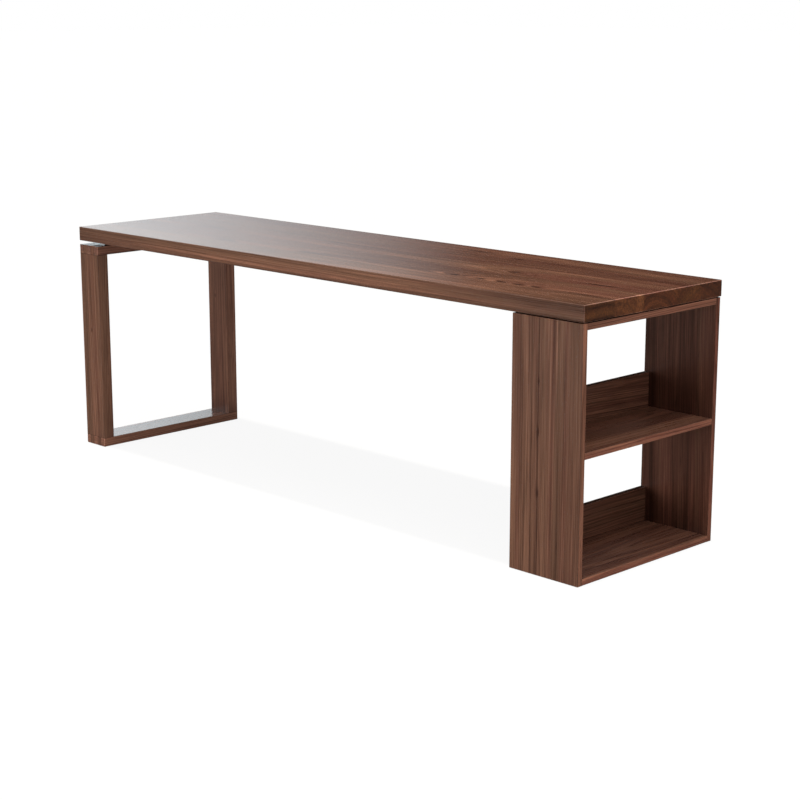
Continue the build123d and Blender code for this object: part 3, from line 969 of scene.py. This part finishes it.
def make_camera(settings):
    """The camera of the photograph's view, level from side to side."""
    data = bpy.data.cameras.new("camera")
    data.lens = settings.lens
    data.clip_end = VIEW_REACH
    camera = new_object("camera", data)
    camera.location = settings.camera_place
    camera.rotation_euler = (math.pi / 2 + settings.camera_pitch, 0.0, settings.camera_turn)
    bpy.context.scene.camera = camera


def colour_setting(name, description, default):
    """A colour that the panel shows."""
    return FloatVectorProperty(
        name=name, description=description, default=default, subtype="COLOR", min=0.0, max=1.0
    )


def number_setting(name, description, default, **kind):
    """A number that the panel shows, with its unit or subtype where one fits."""
    return FloatProperty(name=name, description=description, default=default, **kind)


def angle_setting(name, description, degrees):
    """An angle that the panel shows, its default in degrees."""
    return number_setting(name, description, math.radians(degrees), subtype="ANGLE")


class DeskWalnut(bpy.types.PropertyGroup):
    """The walnut's colours and grain."""

    dark: colour_setting("Dark", "Darkest streaks", (0.042, 0.016, 0.0095))
    red: colour_setting("Red", "Redder heartwood", (0.138, 0.053, 0.035))
    olive: colour_setting("Olive", "Yellower heartwood", (0.155, 0.075, 0.0455))
    light: colour_setting("Light", "Palest streaks", (0.33, 0.15, 0.092))
    ring_width: number_setting("Ring width", "Mean width of a year's ring", 0.0045, unit="LENGTH")
    wander: number_setting("Wander", "How far the rings stray from circles", 0.008, unit="LENGTH")
    pore_depth: number_setting("Pore depth", "Depth of the open pores", 0.0002, unit="LENGTH")
    roughness: number_setting("Roughness", "Roughness of the satin finish", 0.17, subtype="FACTOR")
    specular: number_setting("Specular", "Specular level of the satin finish", 0.5, subtype="FACTOR")
    calm: number_setting("Calm", "How the top's bands fade towards the leg", 0.5, subtype="FACTOR")


class DeskHardware(bpy.types.PropertyGroup):
    """Colours of the pieces that aren't walnut."""

    zinc: colour_setting("Zinc", "Plated bolts", (0.58, 0.58, 0.57))
    brass: colour_setting("Brass", "Threaded inserts", (0.66, 0.47, 0.2))
    beech: colour_setting("Beech", "Pressed biscuits", (0.5, 0.31, 0.17))
    rubber: colour_setting("Rubber", "Floor pads", (0.022, 0.02, 0.019))
    stain: colour_setting("Stain", "Dark spacers", (0.018, 0.012, 0.01))


class DeskStage(bpy.types.PropertyGroup):
    """Floor, light and camera."""

    floor_reach: number_setting("Floor reach", "Half the floor's side", 60.0, unit="LENGTH")
    floor_colour: colour_setting("Floor", "The floor's paint", (0.44, 0.44, 0.44))
    floor_whiteness: number_setting(
        "Floor whiteness", "White that the camera sees even in shadow", 0.914
    )
    shadow_depth: number_setting(
        "Shadow depth", "What the light adds to that white outside the shadow", 0.088
    )
    floor_shine: number_setting("Floor shine", "Level of the floor in reflections", 0.12)
    sky_level: number_setting("Sky level", "Level of the plain light all round", 0.28)
    bright_bearing: angle_setting("Bright bearing", "Bright side's middle, turned from X to Y", 200.0)
    bright_inner: angle_setting("Bright inner", "Full brightness within this angle", 54.0)
    bright_outer: angle_setting("Bright outer", "Darkness beyond this angle", 67.0)
    bright_colour: colour_setting("Bright colour", "Its tint", (0.86, 0.953, 1.0))
    bright_rise: number_setting("Bright rise", "How much brighter it is higher up", 2.4)
    bright_side: number_setting("Bright side", "Its level in reflections", 1.06)
    dark_side: number_setting("Dark side", "The other side's level in reflections", 0.003)
    overhead_colour: colour_setting("Overhead colour", "Tint of the light from above", (1.0, 0.96, 0.88))
    overhead_dark_side: number_setting(
        "Overhead dark side", "Level in reflections overhead, on the dark side", 1.4
    )
    overhead_bright_side: number_setting(
        "Overhead bright side", "Level in reflections overhead, on the bright side", 0.1
    )
    sun_strength: number_setting(
        "Sun strength", "Strength of the narrow light from straight above", 2.5
    )
    sun_tilt: FloatVectorProperty(
        name="Sun tilt",
        description="Its lean from the vertical",
        default=(math.radians(1.5), 0.0, 0.0),
        subtype="EULER",
    )
    sun_spread: angle_setting("Sun spread", "Angle that light comes from", 3.0)
    top_lamp_power: number_setting("Top lamp power", "Power of the lamp overhead", 28.0, unit="POWER")
    side_lamp_power: number_setting(
        "Side lamp power", "Power of the lamp at the side", 22.0, unit="POWER"
    )
    front_lamp_power: number_setting(
        "Front lamp power", "Power of the lamp in front", 26.0, unit="POWER"
    )
    lens: number_setting("Lens", "Focal length in millimetres", 80.795)
    camera_place: FloatVectorProperty(
        name="Camera",
        description="Where the camera stands",
        default=(3.9484, -3.7654, 1.5176),
        subtype="TRANSLATION",
    )
    camera_turn: angle_setting("Camera turn", "Turn about the vertical", 45.325)
    camera_pitch: angle_setting("Camera pitch", "Tilt from the level", -12.772)


class DESK_OT_dress_top(bpy.types.Operator):
    """Gives each board of the top its own cut of walnut"""

    bl_idname = "desk.dress_top"
    bl_label = "Finish top boards"

    def execute(self, context):
        dress(TOP_BOARDS, walnut_material)
        return {"FINISHED"}


class DESK_OT_dress_leg(bpy.types.Operator):
    """Gives the loop leg's posts and rails their walnut"""

    bl_idname = "desk.dress_leg"
    bl_label = "Finish loop leg"

    def execute(self, context):
        dress(LEG_MEMBERS, walnut_material)
        return {"FINISHED"}


class DESK_OT_dress_shelf_unit(bpy.types.Operator):
    """Gives the shelf unit's sides, panels and stops their walnut"""

    bl_idname = "desk.dress_shelf_unit"
    bl_label = "Finish shelf unit"

    def execute(self, context):
        dress(SHELF_MEMBERS, walnut_material)
        return {"FINISHED"}


class DESK_OT_dress_spacers(bpy.types.Operator):
    """Stains the two hidden spacers dark"""

    bl_idname = "desk.dress_spacers"
    bl_label = "Finish spacers"

    def execute(self, context):
        dress(["leg_spacer", "shelf_spacer"], plain_material, "stain")
        return {"FINISHED"}


class DESK_OT_dress_bolts(bpy.types.Operator):
    """Plates the bolts with zinc"""

    bl_idname = "desk.dress_bolts"
    bl_label = "Finish bolts"

    def execute(self, context):
        dress(["leg_bolts", "shelf_bolts"], plain_material, "zinc")
        return {"FINISHED"}


class DESK_OT_dress_inserts(bpy.types.Operator):
    """Gives the threaded inserts their brass"""

    bl_idname = "desk.dress_inserts"
    bl_label = "Finish inserts"

    def execute(self, context):
        dress(["leg_inserts", "shelf_inserts"], plain_material, "brass")
        return {"FINISHED"}


class DESK_OT_dress_biscuits(bpy.types.Operator):
    """Gives the pressed biscuits their beech"""

    bl_idname = "desk.dress_biscuits"
    bl_label = "Finish biscuits"

    def execute(self, context):
        dress(["case_biscuits"], plain_material, "beech")
        return {"FINISHED"}


class DESK_OT_dress_pads(bpy.types.Operator):
    """Gives the floor pads their rubber"""

    bl_idname = "desk.dress_pads"
    bl_label = "Finish floor pads"

    def execute(self, context):
        dress(["floor_pads"], plain_material, "rubber")
        return {"FINISHED"}


class DESK_OT_set_stage(bpy.types.Operator):
    """Sets up the pale floor, the studio's light and the camera"""

    bl_idname = "desk.set_stage"
    bl_label = "Set stage"

    def execute(self, context):
        settings = context.scene.desk_stage
        make_floor(settings)
        make_sky(settings)
        make_lamp("top_lamp", settings.top_lamp_power, settings.overhead_colour)
        make_lamp("front_lamp", settings.front_lamp_power)
        make_lamp("side_lamp", settings.side_lamp_power)
        make_sun(settings)
        make_camera(settings)
        context.scene.view_settings.view_transform = "Standard"
        return {"FINISHED"}


class DESK_PT_panel(bpy.types.Panel):
    """Lists the steps of the desk's finish"""

    bl_idname = "DESK_PT_panel"
    bl_label = "Desk"
    bl_space_type = "VIEW_3D"
    bl_region_type = "UI"
    bl_category = "Desk"

    def draw(self, context):
        for group_name, group in SETTINGS.items():
            for name in group.__annotations__:
                self.layout.prop(getattr(context.scene, group_name), name)
        for operator in OPERATORS:
            self.layout.operator(operator.bl_idname)


SETTINGS = {"desk_walnut": DeskWalnut, "desk_hardware": DeskHardware, "desk_stage": DeskStage}
OPERATORS = (
    DESK_OT_dress_top,
    DESK_OT_dress_leg,
    DESK_OT_dress_shelf_unit,
    DESK_OT_dress_spacers,
    DESK_OT_dress_bolts,
    DESK_OT_dress_inserts,
    DESK_OT_dress_biscuits,
    DESK_OT_dress_pads,
    DESK_OT_set_stage,
)
CLASSES = (*SETTINGS.values(), *OPERATORS, DESK_PT_panel)


def register():
    """Registers the settings, the operators and the panel."""
    for one in CLASSES:
        bpy.utils.register_class(one)
    for name, group in SETTINGS.items():
        setattr(bpy.types.Scene, name, PointerProperty(type=group))


def unregister():
    """Takes the settings, the panel and the operators away again."""
    for name in SETTINGS:
        delattr(bpy.types.Scene, name)
    for one in reversed(CLASSES):
        bpy.utils.unregister_class(one)


def main():
    """Runs every step in order."""
    register()
    for operator in OPERATORS:
        category, step = operator.bl_idname.split(".")
        getattr(getattr(bpy.ops, category), step)()


if __name__ == "__main__":
    main()
